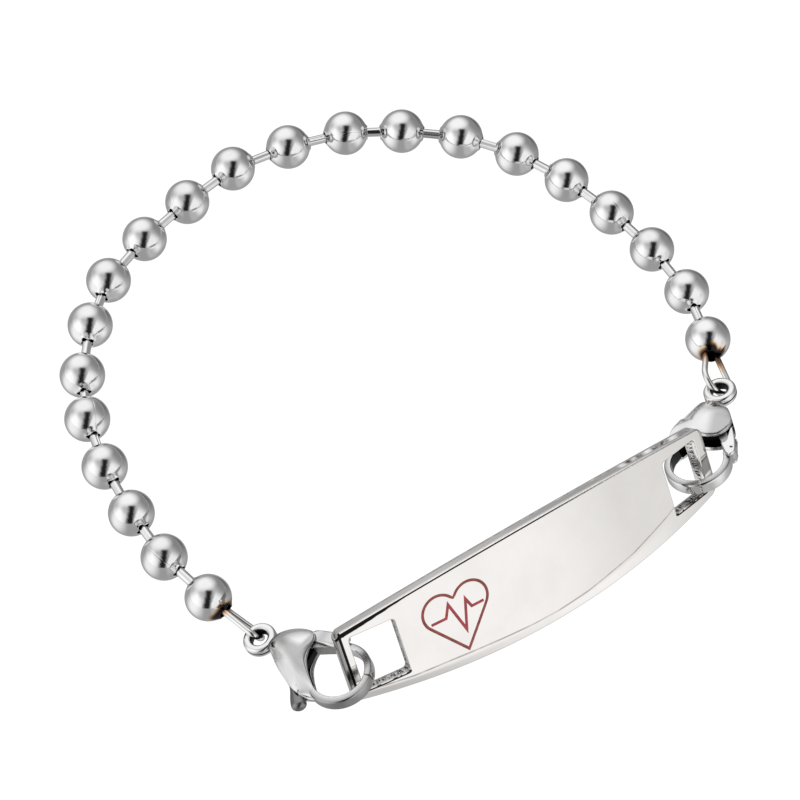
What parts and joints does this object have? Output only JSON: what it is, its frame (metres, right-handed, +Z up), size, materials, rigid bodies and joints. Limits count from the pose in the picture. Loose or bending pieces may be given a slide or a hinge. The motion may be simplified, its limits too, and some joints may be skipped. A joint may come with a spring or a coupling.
{
  "type": "identification bracelet",
  "caption": "Steel identification bracelet lying flat: bent windowed plate with red enamel heart, ball chain and a sprung lobster clasp at each end.",
  "frame": {"origin": "On the table, under the middle of the bracelet's box.", "axes": "+Z is up from the table. +X runs along the plate, to the right for someone who faces its front. -Y is the side that the plate's face looks to."},
  "size_m": [0.0698, 0.0698, 0.011],
  "materials": {
    "polished_steel": "polished stainless steel",
    "plain_steel": "plain drawn stainless steel",
    "enamel_dark_red": "glossy brown-red enamel",
    "enamel_bright_red": "glossy bright red enamel"
  },
  "bodies": {
    "bracelet": {"id_plate": "polished_steel", "emblem_heart": "enamel_dark_red", "emblem_pulse": "enamel_bright_red", "end_bead_left": "polished_steel", "bead_1": "polished_steel", "bead_2": "polished_steel", "bead_3": "polished_steel", "bead_4": "polished_steel", "bead_5": "polished_steel", "bead_6": "polished_steel", "bead_7": "polished_steel", "bead_8": "polished_steel", "bead_9": "polished_steel", "bead_10": "polished_steel", "bead_11": "polished_steel", "bead_12": "polished_steel", "bead_13": "polished_steel", "bead_14": "polished_steel", "bead_15": "polished_steel", "bead_16": "polished_steel", "bead_17": "polished_steel", "bead_18": "polished_steel", "bead_19": "polished_steel", "end_bead_right": "polished_steel", "link_1": "plain_steel", "link_2": "plain_steel", "link_3": "plain_steel", "link_4": "plain_steel", "link_5": "plain_steel", "link_6": "plain_steel", "link_7": "plain_steel", "link_8": "plain_steel", "link_9": "plain_steel", "link_10": "plain_steel", "link_11": "plain_steel", "link_12": "plain_steel", "link_13": "plain_steel", "link_14": "plain_steel", "link_15": "plain_steel", "link_16": "plain_steel", "link_17": "plain_steel", "link_18": "plain_steel", "link_19": "plain_steel", "link_20": "plain_steel", "clasp_body_left": "polished_steel", "clasp_pin_left": "plain_steel", "clasp_body_right": "polished_steel", "clasp_pin_right": "plain_steel"},
    "lever_left": {"clasp_lever_left": "polished_steel"},
    "lever_right": {"clasp_lever_right": "polished_steel"}
  },
  "joints": [
    {"name": "lever_left_pivot", "type": "hinge", "parent": "bracelet", "child": "lever_left", "pos_m": [-0.02479, -0.02659, 0.00402], "axis": [0.2613, -0.151, -0.9534], "range_deg": [0, 8], "stiffness_Nm_per_rad": 0.01, "springref_deg": -17.19},
    {"name": "lever_right_pivot", "type": "hinge", "parent": "bracelet", "child": "lever_right", "pos_m": [0.02169, -0.03018, 0.00361], "axis": [0.1412, -0.2489, -0.9582], "range_deg": [0, 8], "stiffness_Nm_per_rad": 0.01, "springref_deg": -17.19}
  ]
}
